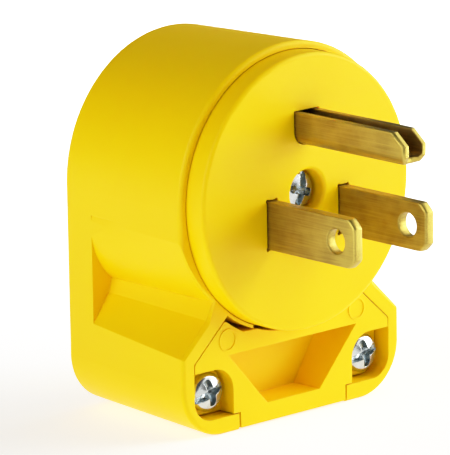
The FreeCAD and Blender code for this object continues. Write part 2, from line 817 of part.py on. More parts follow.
def build():
    """Every piece by its node name."""
    blade = flat_blade()
    terminal = pan_screw(terminal_head_radius, terminal_head_height, terminal_shank_radius,
                         terminal_screw_length)
    clamp_screw = pan_screw(clamp_head_radius, clamp_head_height, clamp_shank_radius, clamp_screw_length)
    center = pan_screw(center_head_radius, center_head_height, center_shank_radius, center_screw_length)
    nut = square_nut()
    plate = wire_plate()
    pieces = {
        "housing": housing(),
        "face_disc": face_disc(),
        "blade_carrier": blade_carrier(),
        "neutral_blade": mirrored(blade),
        "line_blade": blade,
        "ground_pin": ground_pin(),
        "center_screw": placed(center, 0, center_head_seat_y, 0, center_turn),
        "center_insert": center_insert(),
        "cord_clamp": cord_clamp(),
        "rear_cord_grip": rear_cord_grip(),
    }
    names = ("neutral", "line", "ground")
    thicknesses = (blade_thickness, blade_thickness, ground_tab_thickness)
    for name, (x, z), thickness, turn in zip(names, terminal_places(), thicknesses, terminal_turns):
        plate_y = carrier_back_y + thickness
        pieces[name + "_wire_plate"] = placed(plate, x, plate_y, z)
        pieces[name + "_terminal_screw"] = placed(terminal, x, plate_y + plate_thickness, z, turn, True)
    for name, side, turn in (("left", -1, clamp_turns[0]), ("right", 1, clamp_turns[1])):
        x = side * clamp_screw_x
        pieces["clamp_screw_" + name] = placed(clamp_screw, x, clamp_head_seat_y, -clamp_screw_z, turn)
        pieces["clamp_nut_" + name] = placed(nut, x, bay_back_y, -clamp_screw_z)
    return pieces


os.makedirs("parts", exist_ok=True)
for node, shape in build().items():
    shape.exportStep("parts/" + node + ".step")
    print(node, len(shape.Solids), shape.isValid(), round(shape.Volume, 2))
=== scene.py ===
import math
import bpy
from mathutils import Matrix, Vector


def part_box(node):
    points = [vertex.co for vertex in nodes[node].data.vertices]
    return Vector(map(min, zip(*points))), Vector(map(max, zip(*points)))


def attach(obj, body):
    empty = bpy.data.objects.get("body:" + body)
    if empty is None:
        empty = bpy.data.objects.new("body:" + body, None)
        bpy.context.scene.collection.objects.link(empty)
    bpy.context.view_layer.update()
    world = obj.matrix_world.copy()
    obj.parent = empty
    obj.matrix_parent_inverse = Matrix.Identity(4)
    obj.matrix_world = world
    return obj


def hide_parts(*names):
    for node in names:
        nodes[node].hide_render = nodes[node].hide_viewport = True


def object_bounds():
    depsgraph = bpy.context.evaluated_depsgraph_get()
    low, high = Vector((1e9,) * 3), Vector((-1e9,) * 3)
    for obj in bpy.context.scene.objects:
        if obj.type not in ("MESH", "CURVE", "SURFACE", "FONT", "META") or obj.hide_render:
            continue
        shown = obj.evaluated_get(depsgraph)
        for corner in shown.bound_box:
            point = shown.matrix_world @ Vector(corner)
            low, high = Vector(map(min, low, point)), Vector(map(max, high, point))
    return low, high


# Rewireable angle plug with brass pins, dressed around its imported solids.
# Metres, +Z up, pins along -Y. Lengths in the dictionaries are in millimetres.

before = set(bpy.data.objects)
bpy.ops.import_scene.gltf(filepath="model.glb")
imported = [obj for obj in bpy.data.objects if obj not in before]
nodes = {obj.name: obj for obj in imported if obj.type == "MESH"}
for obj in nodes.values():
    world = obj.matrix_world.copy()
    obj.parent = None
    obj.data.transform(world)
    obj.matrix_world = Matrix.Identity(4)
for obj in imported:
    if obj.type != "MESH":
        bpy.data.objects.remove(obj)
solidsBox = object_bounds()
bpy.ops.object.select_all(action="DESELECT")
print("frame loaded:", len(nodes), "nodes")

tiny = 1e-5  # points nearer than this are at the same place
square = 0.99  # a face with this share of its normal along an axis is square to it
slight = 0.1  # a face with less than this share runs along the axis
sharpAngle = math.radians(35)  # steeper edges stay sharp


# A length in millimetres, as metres
def mm(length):
    return length / 1000


# The noise scale that makes features about this many millimetres wide
def perMm(width):
    return 1000 / width


# An sRGB hex colour as linear red, green, blue and alpha
def linear(hexColour):
    channels = [int(hexColour[i:i + 2], 16) / 255 for i in (1, 3, 5)]
    return [c / 12.92 if c <= 0.04045 else ((c + 0.055) / 1.055) ** 2.4 for c in channels] + [1.0]


# Adds a node, sets its inputs and properties, and links inputs to other nodes' outputs
def addNode(tree, kind, settings=None, links=None):
    node = tree.nodes.new(kind)
    for name, value in (settings or {}).items():
        if isinstance(name, int) or name in node.inputs:
            node.inputs[name].default_value = value
        else:
            setattr(node, name, value)
    for name, output in (links or {}).items():
        tree.links.new(output, node.inputs[name])
    return node


# A new material with its tree and its Object coordinates
def newMaterial(name):
    material = bpy.data.materials.new(name)
    material.use_nodes = True
    tree = material.node_tree
    tree.nodes.clear()
    place = addNode(tree, "ShaderNodeTexCoord").outputs["Object"]
    return material, tree, place


# Ends a material in its shader
def finishMaterial(tree, shader):
    addNode(tree, "ShaderNodeOutputMaterial", links={"Surface": shader.outputs[0]})


# Yellow nylon, injection moulded: a satin shell from an eroded mould. A little light enters,
# narrow gaps get a brown painted shade, and every edge has the small radius that a mould leaves.
# The mould's grain is drawn coarser than it is, so that it shows.
shellLook = {
    "colour": "#F8CC00", "flowColour": "#F4C500", "flowWidth": 16.0,
    # painted shade: these entries mix a brown into the resin where narrow gaps and creases hold
    # shade
    "paintedGapShadeColour": "#B86000", "paintedGapShadeReach": 0.8, "paintedGapShadeStart": 0.37, "paintedGapShadeShare": 0.6,
    "roughness": (0.34, 0.46), "patchWidth": 5.0, "ior": 1.53, "gloss": 0.08,
    "grainWidth": 0.4, "grainHeight": 0.004, "waveWidth": 8.0, "waveHeight": 0.03,
    "edgeRadius": 0.12, "scatter": 0.15, "scatterDepth": 1.4, "scatterSpread": (1.0, 0.45, 0.05),
}


def mouldedNylon():
    look = shellLook
    material, tree, place = newMaterial("mouldedYellowNylon")
    flow = addNode(tree, "ShaderNodeTexNoise",
                   {"Scale": perMm(look["flowWidth"]), "Detail": 2.0}, {"Vector": place})
    resin = addNode(tree, "ShaderNodeMix", {
        "data_type": "RGBA", 6: linear(look["colour"]), 7: linear(look["flowColour"])},
        {0: flow.outputs["Fac"]})
    # painted shade: the AO node darkens the resin towards brown in narrow gaps, where shade falls
    openness = addNode(tree, "ShaderNodeAmbientOcclusion",
                       {"samples": 8, "Distance": mm(look["paintedGapShadeReach"])})
    gap = addNode(tree, "ShaderNodeMapRange", {
        "From Min": look["paintedGapShadeStart"], "From Max": 0.0, "To Max": look["paintedGapShadeShare"]},
        {"Value": openness.outputs["AO"]})
    colour = addNode(tree, "ShaderNodeMix", {"data_type": "RGBA", 7: linear(look["paintedGapShadeColour"])},
                     {0: gap.outputs["Result"], 6: resin.outputs[2]})
    patches = addNode(tree, "ShaderNodeTexNoise",
                      {"Scale": perMm(look["patchWidth"]), "Detail": 3.0}, {"Vector": place})
    low, high = look["roughness"]
    roughness = addNode(tree, "ShaderNodeMapRange", {"To Min": low, "To Max": high},
                        {"Value": patches.outputs["Fac"]})
    edge = addNode(tree, "ShaderNodeBevel", {"samples": 4, "Radius": mm(look["edgeRadius"])})
    wave = addNode(tree, "ShaderNodeTexNoise",
                   {"Scale": perMm(look["waveWidth"]), "Detail": 0.0}, {"Vector": place})
    waveBump = addNode(tree, "ShaderNodeBump",
                       {"Strength": 1.0, "Distance": mm(look["waveHeight"])},
                       {"Height": wave.outputs["Fac"], "Normal": edge.outputs["Normal"]})
    grain = addNode(tree, "ShaderNodeTexNoise",
                    {"Scale": perMm(look["grainWidth"]), "Detail": 2.0}, {"Vector": place})
    bump = addNode(tree, "ShaderNodeBump",
                   {"Strength": 1.0, "Distance": mm(look["grainHeight"])},
                   {"Height": grain.outputs["Fac"], "Normal": waveBump.outputs["Normal"]})
    shader = addNode(tree, "ShaderNodeBsdfPrincipled", {
        "IOR": look["ior"], "Specular IOR Level": look["gloss"],
        "Subsurface Weight": look["scatter"], "Subsurface Scale": mm(look["scatterDepth"]),
        "Subsurface Radius": look["scatterSpread"]},
        {"Base Color": colour.outputs[2], "Roughness": roughness.outputs["Result"],
         "Normal": bump.outputs["Normal"]})
    finishMaterial(tree, shader)
    return material


# Brass strip, rolled and blanked, then handled: fine lines run along the pins, with browner
# tarnish in streaks and patches between them. The contacts wipe the tips clean, so the tarnish
# grows inwards. The rolling lines are drawn coarser than they are, so that they show.
brassLook = {
    "name": "rolledBrass", "colour": "#B8A44C", "tarnish": "#967C38",
    "patchWidth": 2.6, "streakWidth": 0.22, "streakLength": 8.0, "tarnishRange": (0.12, 0.42),
    "wipedAt": -16.0, "dullAt": -1.0, "wipedShare": -0.22, "dullShare": 0.16,
    "lineWidth": 0.12, "lineLength": 5.0, "lineHeight": 0.003,
    "roughness": (0.34, 0.48), "edgeRadius": 0.18,
}
# Inside the folded pin nothing wipes the strip, so it stays brown, and its darker colour there is
# partly painted shade inside the fold
insideLook = {**brassLook, "name": "brownBrassWithPaintedShadeInside", "colour": "#B8984F", "tarnish": "#8A6C32"}


def rolledBrass(look):
    material, tree, place = newMaterial(look["name"])
    streaksAlong = addNode(tree, "ShaderNodeMapping", {
        "Scale": (1.0, look["streakWidth"] / look["streakLength"], 1.0)}, {"Vector": place})
    streaks = addNode(tree, "ShaderNodeTexNoise",
                      {"Scale": perMm(look["streakWidth"]), "Detail": 3.0},
                      {"Vector": streaksAlong.outputs["Vector"]})
    patches = addNode(tree, "ShaderNodeTexNoise",
                      {"Scale": perMm(look["patchWidth"]), "Detail": 4.0}, {"Vector": place})
    both = addNode(tree, "ShaderNodeMath", {"operation": "MULTIPLY"},
                   {0: streaks.outputs["Fac"], 1: patches.outputs["Fac"]})
    start, end = look["tarnishRange"]
    tarnish = addNode(tree, "ShaderNodeMapRange", {"From Min": start, "From Max": end},
                      {"Value": both.outputs[0]})
    along = addNode(tree, "ShaderNodeSeparateXYZ", links={"Vector": place})
    wear = addNode(tree, "ShaderNodeMapRange", {
        "From Min": mm(look["wipedAt"]), "From Max": mm(look["dullAt"]),
        "To Min": look["wipedShare"], "To Max": look["dullShare"]}, {"Value": along.outputs["Y"]})
    share = addNode(tree, "ShaderNodeMath", {"operation": "ADD", "use_clamp": True},
                    {0: tarnish.outputs["Result"], 1: wear.outputs["Result"]})
    colour = addNode(tree, "ShaderNodeMix", {
        "data_type": "RGBA", 6: linear(look["colour"]), 7: linear(look["tarnish"])},
        {0: share.outputs[0]})
    linesAlong = addNode(tree, "ShaderNodeMapping", {
        "Scale": (1.0, look["lineWidth"] / look["lineLength"], 1.0)}, {"Vector": place})
    lines = addNode(tree, "ShaderNodeTexNoise",
                    {"Scale": perMm(look["lineWidth"]), "Detail": 2.0},
                    {"Vector": linesAlong.outputs["Vector"]})
    low, high = look["roughness"]
    roughness = addNode(tree, "ShaderNodeMapRange", {"To Min": low, "To Max": high},
                        {"Value": lines.outputs["Fac"]})
    edge = addNode(tree, "ShaderNodeBevel", {"samples": 4, "Radius": mm(look["edgeRadius"])})
    bump = addNode(tree, "ShaderNodeBump", {"Strength": 1.0, "Distance": mm(look["lineHeight"])},
                   {"Height": lines.outputs["Fac"], "Normal": edge.outputs["Normal"]})
    shader = addNode(tree, "ShaderNodeBsdfPrincipled", {"Metallic": 1.0},
                     {"Base Color": colour.outputs[2], "Roughness": roughness.outputs["Result"],
                      "Normal": bump.outputs["Normal"]})
    finishMaterial(tree, shader)
    return material


# Steel, plated or coated: bright, with dull spots in the coat and fine marks from the driver
zincLook = {"name": "zincPlatedSteel", "colour": "#D2D6D4", "shade": "#A2A8A8",
            "roughness": (0.12, 0.30)}
greenLook = {"name": "greenCoatedSteel", "colour": "#2E7A46", "shade": "#1E5A34",
             "roughness": (0.22, 0.38)}
# Inside the screw recesses the plating is drawn darker: partly dull plating, partly painted shade
# in the recess
recessLook = {"name": "dullPlatingWithPaintedShadeInRecess", "colour": "#B4BEC0", "shade": "#78848A",
              "roughness": (0.16, 0.34)}
coatLook = {"spotWidth": 0.8, "markWidth": 0.3, "markHeight": 0.008, "edgeRadius": 0.1}


def platedSteel(look):
    material, tree, place = newMaterial(look["name"])
    spots = addNode(tree, "ShaderNodeTexNoise",
                    {"Scale": perMm(coatLook["spotWidth"]), "Detail": 4.0}, {"Vector": place})
    colour = addNode(tree, "ShaderNodeMix", {
        "data_type": "RGBA", 6: linear(look["colour"]), 7: linear(look["shade"])},
        {0: spots.outputs["Fac"]})
    low, high = look["roughness"]
    roughness = addNode(tree, "ShaderNodeMapRange", {"To Min": low, "To Max": high},
                        {"Value": spots.outputs["Fac"]})
    marks = addNode(tree, "ShaderNodeTexNoise",
                    {"Scale": perMm(coatLook["markWidth"]), "Detail": 2.0}, {"Vector": place})
    edge = addNode(tree, "ShaderNodeBevel", {"samples": 4, "Radius": mm(coatLook["edgeRadius"])})
    bump = addNode(tree, "ShaderNodeBump",
                   {"Strength": 1.0, "Distance": mm(coatLook["markHeight"])},
                   {"Height": marks.outputs["Fac"], "Normal": edge.outputs["Normal"]})
    shader = addNode(tree, "ShaderNodeBsdfPrincipled", {"Metallic": 1.0},
                     {"Base Color": colour.outputs[2], "Roughness": roughness.outputs["Result"],
                      "Normal": bump.outputs["Normal"]})
    finishMaterial(tree, shader)
    return material


# Phenolic resin, pressed: dark, hard and a little glossy, with pale flecks of its filler
carrierLook = {
    "colour": "#2A2320", "fleck": "#5A4A3C", "fleckWidth": 0.5, "fleckRange": (0.58, 0.72),
    "ior": 1.6, "roughness": (0.35, 0.5), "grainWidth": 0.3, "grainHeight": 0.005,
}


def pressedPhenolic():
    look = carrierLook
    material, tree, place = newMaterial("pressedPhenolic")
    flecks = addNode(tree, "ShaderNodeTexNoise",
                     {"Scale": perMm(look["fleckWidth"]), "Detail": 3.0}, {"Vector": place})
    start, end = look["fleckRange"]
    share = addNode(tree, "ShaderNodeMapRange", {"From Min": start, "From Max": end},
                    {"Value": flecks.outputs["Fac"]})
    colour = addNode(tree, "ShaderNodeMix", {
        "data_type": "RGBA", 6: linear(look["colour"]), 7: linear(look["fleck"])},
        {0: share.outputs["Result"]})
    grain = addNode(tree, "ShaderNodeTexNoise",
                    {"Scale": perMm(look["grainWidth"]), "Detail": 2.0}, {"Vector": place})
    low, high = look["roughness"]
    roughness = addNode(tree, "ShaderNodeMapRange", {"To Min": low, "To Max": high},
                        {"Value": grain.outputs["Fac"]})
    bump = addNode(tree, "ShaderNodeBump",
                   {"Strength": 1.0, "Distance": mm(look["grainHeight"])},
                   {"Height": grain.outputs["Fac"]})
    shader = addNode(tree, "ShaderNodeBsdfPrincipled", {"IOR": look["ior"]},
                     {"Base Color": colour.outputs[2], "Roughness": roughness.outputs["Result"],
                      "Normal": bump.outputs["Normal"]})
    finishMaterial(tree, shader)
    return material


# Puts a material in a piece's first slot and leaves the slots behind it alone
def dress(piece, material):
    if not piece.material_slots:
        piece.data.materials.append(material)
    piece.material_slots[0].material = material


nylon = mouldedNylon()
brass = rolledBrass(brassLook)
brassInside = rolledBrass(insideLook)
zinc = platedSteel(zincLook)
greenSteel = platedSteel(greenLook)
recessSteel = platedSteel(recessLook)
phenolic = pressedPhenolic()
for name in ("housing", "face_disc", "cord_clamp", "rear_cord_grip"):
    dress(nodes[name], nylon)
for name in ("center_insert", "neutral_wire_plate", "line_wire_plate", "ground_wire_plate"):
    dress(nodes[name], brass)
for name in ("clamp_nut_left", "clamp_nut_right"):
    dress(nodes[name], zinc)
dress(nodes["blade_carrier"], phenolic)
print("materials on the nodes")


# Leaves one piece selected and active
def pick(piece):
    bpy.ops.object.select_all(action="DESELECT")
    piece.select_set(True)
    bpy.context.view_layer.objects.active = piece


def leaveEdit():
    bpy.ops.object.mode_set(mode="OBJECT")


# Picks a piece and deselects all of its mesh, in one selection mode
def clearMesh(piece, kind):
    pick(piece)
    bpy.ops.object.mode_set(mode="EDIT")
    bpy.ops.mesh.select_mode(type=kind)
    bpy.ops.mesh.select_all(action="DESELECT")
    leaveEdit()


# Enters edit mode with only the faces selected that pass a test
def editFaces(piece, test):
    clearMesh(piece, "FACE")
    for face in piece.data.polygons:
        face.select = test(face)
    bpy.ops.object.mode_set(mode="EDIT")


# Bevels the edges whose two ends pass a test
def bevelEdges(piece, test, width, steps, profile=0.5):
    clearMesh(piece, "EDGE")
    points = piece.data.vertices
    for edge in piece.data.edges:
        start, end = [points[i].co for i in edge.vertices]
        edge.select = test(start, end)
    bpy.ops.object.mode_set(mode="EDIT")
    bpy.ops.mesh.bevel(offset=width, segments=steps, profile=profile, affect="EDGES")
    leaveEdit()


# Extrudes the faces that pass a test
def extrudeFaces(piece, test, move):
    editFaces(piece, test)
    bpy.ops.mesh.extrude_region_move(TRANSFORM_OT_translate={"value": move})
    leaveEdit()


# Adds a modifier with its settings and applies it
def applyModifier(piece, kind, settings):
    pick(piece)
    modifier = piece.modifiers.new(kind.lower(), kind)
    for name, value in settings.items():
        setattr(modifier, name, value)
    bpy.ops.object.modifier_apply(modifier=modifier.name)


# Rounds every edge that is still sharp
def easeEdges(piece, width, steps):
    applyModifier(piece, "BEVEL", {"width": width, "segments": steps, "limit_method": "ANGLE",
                                   "angle_limit": sharpAngle})


# Bakes a piece's place, turn and scale into its mesh
def settle(piece):
    pick(piece)
    bpy.ops.object.transform_apply(location=True, rotation=True, scale=True)


# A box between two corners
def addBox(low, high):
    bpy.ops.mesh.primitive_cube_add(
        size=1, location=[(start + end) / 2 for start, end in zip(low, high)],
        scale=[end - start for start, end in zip(low, high)])
    box = bpy.context.object
    settle(box)
    return box


# Takes a cutter out of a piece, leaves the cutter's material on the cut and removes the cutter
def cutOut(piece, cutter, material):
    dress(cutter, material)
    applyModifier(piece, "BOOLEAN", {"operation": "DIFFERENCE", "object": cutter,
                                     "solver": "EXACT", "material_mode": "TRANSFER"})
    bpy.data.objects.remove(cutter)


# Drills a round hole through a brass piece
def drill(piece, radius, sides, turn, place):
    drillLength = mm(4)
    bpy.ops.mesh.primitive_cylinder_add(vertices=sides, radius=radius, depth=drillLength,
                                        rotation=turn, location=place)
    cutter = bpy.context.object
    settle(cutter)
    cutOut(piece, cutter, brass)


# A copy with its own mesh
def copyOf(piece):
    twin = piece.copy()
    twin.data = piece.data.copy()
    bpy.context.collection.objects.link(twin)
    return twin


# Smooths a piece, gives it its finish, hangs it on the root body and hides the node it stands for
def finishPiece(piece, name, material, node):
    pick(piece)
    bpy.ops.object.shade_smooth_by_angle(angle=sharpAngle)
    applyModifier(piece, "WEIGHTED_NORMAL", {"keep_sharp": True})
    piece.name = name
    dress(piece, material)
    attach(piece, "root")
    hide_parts(node)
    bpy.ops.object.select_all(action="DESELECT")


# Screws with pan heads, cold headed and thread rolled: a slot right across, a cross with rounded
# arms over it, a crowned top with a full round shoulder, and a thread down to a short cone.
# armReach is for a head of armHead radius and grows with the head, and slotRun counts in radii.
screwLook = {
    "sides": 64, "shoulder": 0.75, "shoulderSteps": 6,
    "crown": 0.45, "crownStep": 0.55, "crownRises": (0.51, 0.33, 0.16),
    "slotWidth": 0.9, "slotDepth": 0.95, "slotRun": 1.5,
    "armWidth": 1.1, "armReach": 1.9, "armHead": 2.6, "armDepth": 1.35, "armClear": 1.0,
    "armRounding": 0.42, "armSteps": 4, "floorLength": 0.4, "floorWidth": 0.7, "floorFacing": 0.9,
    "plainNeck": 0.8, "pitch": 0.7, "threadDepth": 0.28, "cone": 0.6, "coneEnd": 0.55,
}
# Each node's screw: its piece name, head height, shank radius, turn in degrees and finish
screws = {
    "clamp_screw_left": ("clampScrewLeft", 1.75, 1.6, 72, zinc, "zinc_steel"),
    "clamp_screw_right": ("clampScrewRight", 1.75, 1.6, 75, zinc, "zinc_steel"),
    "center_screw": ("centerScrew", 1.75, 1.6, 16, zinc, "zinc_steel"),
    "neutral_terminal_screw": ("neutralTerminalScrew", 1.7, 1.7, 15, zinc, "zinc_steel"),
    "line_terminal_screw": ("lineTerminalScrew", 1.7, 1.7, 70, brass, "brass"),
    "ground_terminal_screw": ("groundTerminalScrew", 1.7, 1.7, 40, greenSteel, "green_steel"),
}


# A cutter for one arm of the cross: a box with all its edges rounded, smaller at its floor
def armCutter(length, top):
    look = screwLook
    width = mm(look["armWidth"])
    floor = top - mm(look["armDepth"])
    clear = top + mm(look["armClear"])
    cutter = addBox((-length / 2, -width / 2, floor), (length / 2, width / 2, clear))
    bevelEdges(cutter, lambda start, end: True, width * look["armRounding"], look["armSteps"])
    editFaces(cutter, lambda face: face.normal.z < -look["floorFacing"])
    bpy.ops.transform.resize(value=(look["floorLength"], look["floorWidth"], 1),
                             center_override=(0, 0, floor))
    leaveEdit()
    return cutter


# Extrudes the selected face downwards and scales it about the screw's axis
def extrudeDown(distance, share):
    bpy.ops.mesh.extrude_region_move(TRANSFORM_OT_translate={"value": (0, 0, -distance)})
    bpy.ops.transform.resize(value=(share, share, 1), center_override=(0, 0, 0))


# A screw upright at the origin, its seat on the floor plane and its shank below
def panScrew(headRadius, headHeight, shankRadius, length):
    look = screwLook
    shell = headHeight - mm(look["crown"])
    bpy.ops.mesh.primitive_cylinder_add(vertices=look["sides"], radius=headRadius, depth=shell,
                                        location=(0, 0, shell / 2))
    screw = bpy.context.object
    settle(screw)
    dress(screw, zinc)
    bevelEdges(screw, lambda start, end: min(start.z, end.z) > shell - tiny,
               mm(look["shoulder"]), look["shoulderSteps"])
    editFaces(screw, lambda face: face.normal.z > square and face.center.z > shell - tiny)
    for rise in look["crownRises"]:
        bpy.ops.mesh.inset(thickness=mm(look["crownStep"]))
        bpy.ops.transform.translate(value=(0, 0, mm(look["crown"]) * rise))
    leaveEdit()

    # shank: a plain neck, then ridges a pitch apart, then a cone
    editFaces(screw, lambda face: face.normal.z < -square)
    bpy.ops.mesh.inset(thickness=headRadius - shankRadius)
    neck = mm(look["plainNeck"])
    extrudeDown(neck, 1)
    root = (shankRadius - mm(look["threadDepth"])) / shankRadius
    pitch = mm(look["pitch"])
    ridges = int((length - mm(look["plainNeck"] + look["cone"])) / pitch)
    for ridge in range(ridges):
        extrudeDown(pitch / 2, root)
        extrudeDown(pitch / 2, 1 / root)
    extrudeDown(length - neck - ridges * pitch, look["coneEnd"])
    leaveEdit()

    # recess: the slot runs past both sides of the head, and the arms cross it; the cut faces take
    # the darker recess plating, which is partly painted shade
    half = mm(look["slotWidth"]) / 2
    past = headRadius * look["slotRun"]
    depth = mm(look["slotDepth"])
    slot = addBox((-half, -past, headHeight - depth), (half, past, headHeight + depth))
    cutOut(screw, slot, recessSteel)
    reach = 2 * mm(look["armReach"]) * headRadius / mm(look["armHead"])
    for turn in (0, math.pi / 2):
        arm = armCutter(reach, headHeight)
        arm.rotation_euler = (0, 0, turn)
        settle(arm)
        cutOut(screw, arm, recessSteel)
    return screw


# Sets a screw into its node's place: terminal screws have their heads at the back
def placeScrew(screw, node, head, turn):
    low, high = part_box(node)
    atBack = "terminal" in node
    seat = high.y - head if atBack else low.y + head
    upright = Matrix.Rotation(math.radians(-90 if atBack else 90), 4, "X")
    turned = Matrix.Rotation(math.radians(turn), 4, "Y")
    center = Vector(((low.x + high.x) / 2, seat, (low.z + high.z) / 2))
    screw.matrix_world = Matrix.Translation(center) @ turned @ upright
    settle(screw)


patterns = {}  # one screw of each size, which the others are copied from
for node, (name, headHeight, shankRadius, turn, material, slotName) in screws.items():
    low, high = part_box(node)
    radius = (high.x - low.x) / 2
    length = high.y - low.y - mm(headHeight)
    size = (round(radius, 5), round(length, 5))
    if size not in patterns:
        patterns[size] = panScrew(radius, mm(headHeight), mm(shankRadius), length)
    screw = copyOf(patterns[size])
    placeScrew(screw, node, mm(headHeight), turn)
    if material != zinc:
        screw.material_slots[1].material = material
    finishPiece(screw, name, material, node)
for pattern in patterns.values():
    bpy.data.objects.remove(pattern)
print("screws:", len(screws))


# Ground pin, folded from brass strip: a channel open at the top, its tip cut at a slant on both
# walls and its outer edges coined. A tapped tab stands up behind the carrier.
groundLook = {
    "width": 4.2, "height": 4.35, "wall": 0.9, "cornerRadius": 1.7, "cornerSteps": 8,
    "tipCut": 2.0, "tipDrop": 1.65, "tipBevel": 0.28, "nose": 1.2, "noseTilts": (-22.5, -67.5),
    "tabThickness": 0.95, "tabCorner": 0.8, "tabSteps": 4,
    "threadRadius": 1.78, "threadSides": 48, "threadDrop": 3.0,
    "edgeRound": 0.08, "edgeSteps": 2,
}


def groundPin():
    look = groundLook
    low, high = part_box("ground_pin")
    half = mm(look["width"]) / 2
    wall = mm(look["wall"])
    corner = mm(look["cornerRadius"])
    bottom = low.z
    top = bottom + mm(look["height"])
    tip = low.y
    back = high.y - mm(look["tabThickness"])
    pin = addBox((-half, tip, bottom), (half, back, top))
    bevelEdges(pin, lambda start, end: abs(start.y - end.y) > tiny and start.z < bottom + tiny,
               corner, look["cornerSteps"])

    # open the ends and the top, then cut the tip: the slant above and two steps round the nose
    editFaces(pin, lambda face: abs(face.normal.y) > square or face.normal.z > square)
    bpy.ops.mesh.delete(type="FACE")
    nose = mm(look["nose"])
    slant = math.atan2(look["tipCut"], look["tipDrop"])
    upper, lower = [math.radians(tilt) for tilt in look["noseTilts"]]
    cuts = [(Vector((0, y, z)), Vector((0, -math.cos(tilt), math.sin(tilt)))) for y, z, tilt in (
        (tip, top - mm(look["tipDrop"]), slant), (tip, bottom + nose, upper),
        (tip + nose, bottom, lower))]
    for spot, away in cuts:
        bpy.ops.mesh.select_all(action="SELECT")
        bpy.ops.mesh.bisect(plane_co=spot, plane_no=away, clear_outer=True)
    leaveEdit()
    applyModifier(pin, "SOLIDIFY", {"thickness": wall, "offset": -1, "use_even_offset": True})

    # walls inside the fold, which stay brown and darker, partly as painted shade
    dress(pin, brass)
    pin.data.materials.append(brassInside)
    for face in pin.data.polygons:
        spot = face.center
        inside = abs(spot.x) < half - wall + tiny and spot.z > bottom + wall - tiny
        alongPin = abs(face.normal.y) < slight and face.normal.z > -slight
        face.material_index = int(inside and alongPin)

    # coined outer edge round the tip
    def outside(point):
        side = abs(point.x) - (half - corner)
        drop = bottom + corner - point.z
        rounded = side > 0 and drop > 0 and abs(math.hypot(side, drop) - corner) < tiny
        return abs(abs(point.x) - half) < tiny or abs(point.z - bottom) < tiny or rounded

    def nearTip(point):
        onCut = any(abs((point - spot).dot(away)) < tiny for spot, away in cuts)
        return onCut or point.y < tip + tiny

    bevelEdges(pin, lambda start, end: all(outside(point) and nearTip(point)
                                           for point in (start, end)), mm(look["tipBevel"]), 1)

    # tab with its tapped hole
    tab = addBox((low.x, back, bottom), (high.x, high.y, high.z))
    dress(tab, brass)
    bevelEdges(tab, lambda start, end: abs(start.y - end.y) > tiny and start.z > bottom + tiny,
               mm(look["tabCorner"]), look["tabSteps"])
    drill(tab, mm(look["threadRadius"]), look["threadSides"], (math.pi / 2, 0, 0),
          (0, (back + high.y) / 2, high.z - mm(look["threadDrop"])))
    pick(pin)
    tab.select_set(True)
    bpy.ops.object.join()
    easeEdges(pin, mm(look["edgeRound"]), look["edgeSteps"])
    return pin


finishPiece(groundPin(), "foldedGroundPin", brass, "ground_pin")
print("ground pin")


# Flat blades, blanked from brass strip: corners cut and eased, the rims of the tip and of the
# hole coined, shoulders in front of the carrier, and a foot bent outwards with a tapped hole.
bladeLook = {
    "thickness": 1.52, "width": 6.35, "tipCut": 1.1, "tipSteps": 3, "tipProfile": 0.28,
    "holeRadius": 1.6, "holeSides": 64, "holeFromTip": 3.5,
    "coin": 0.36, "holeCoin": 0.15, "coinSteps": 2,
    "shoulderAt": 4.0, "shoulderDepth": 1.2, "footAt": 9.6, "bend": 1.4, "bendSteps": 6,
    "threadRadius": 1.78, "threadSides": 48, "threadShift": 0.2,
    "edgeRound": 0.07, "edgeSteps": 2,
}


def contactBlade(node):
    look = bladeLook
    low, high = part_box(node)
    inner = low.x
    outer = inner + mm(look["thickness"])
    middle = (inner + outer) / 2
    level = (low.z + high.z) / 2
    half = mm(look["width"]) / 2
    tip = low.y
    shoulder = mm(look["shoulderAt"])
    shoulderEnd = shoulder + mm(look["shoulderDepth"])
    foot = mm(look["footAt"])
    blade = addBox((inner, tip, level - half), (outer, shoulder, level + half))
    dress(blade, brass)
    for step in (shoulderEnd - shoulder, foot - shoulderEnd, high.y - foot):
        extrudeFaces(blade, lambda face: face.normal.y > square, (0, step, 0))
    for side in (-1, 1):
        extrudeFaces(blade, lambda face: face.normal.z * side > square
                     and shoulder < face.center.y < shoulderEnd,
                     (0, 0, side * (high.z - level - half)))
    extrudeFaces(blade, lambda face: face.normal.x > square and face.center.y > foot,
                 (high.x - outer, 0, 0))
    bevelEdges(blade, lambda start, end: max(start.x, end.x) < inner + tiny
               and min(start.y, end.y) > high.y - tiny, mm(look["bend"]), look["bendSteps"])
    bevelEdges(blade, lambda start, end: max(start.y, end.y) < tip + tiny
               and abs(start.x - end.x) > tiny,
               mm(look["tipCut"]), look["tipSteps"], look["tipProfile"])
    tipEnd = tip + mm(look["tipCut"]) + tiny
    bevelEdges(blade, lambda start, end: max(start.y, end.y) < tipEnd
               and abs(start.x - end.x) < tiny, mm(look["coin"]), look["coinSteps"])

    # hole near the tip, with both rims coined, and the foot's tapped hole
    holeAt = tip + mm(look["holeFromTip"])
    holeRadius = mm(look["holeRadius"])
    drill(blade, holeRadius, look["holeSides"], (0, math.pi / 2, 0), (middle, holeAt, level))

    def onRim(point):
        reach = math.hypot(point.y - holeAt, point.z - level)
        atFace = abs(abs(point.x - middle) - (outer - inner) / 2) < tiny
        return atFace and abs(reach - holeRadius) < tiny

    bevelEdges(blade, lambda start, end: onRim(start) and onRim(end)
               and abs(start.x - end.x) < tiny, mm(look["holeCoin"]), look["coinSteps"])
    drill(blade, mm(look["threadRadius"]), look["threadSides"], (math.pi / 2, 0, 0),
          ((outer + high.x) / 2 + mm(look["threadShift"]), high.y, level))
    easeEdges(blade, mm(look["edgeRound"]), look["edgeSteps"])
    return blade


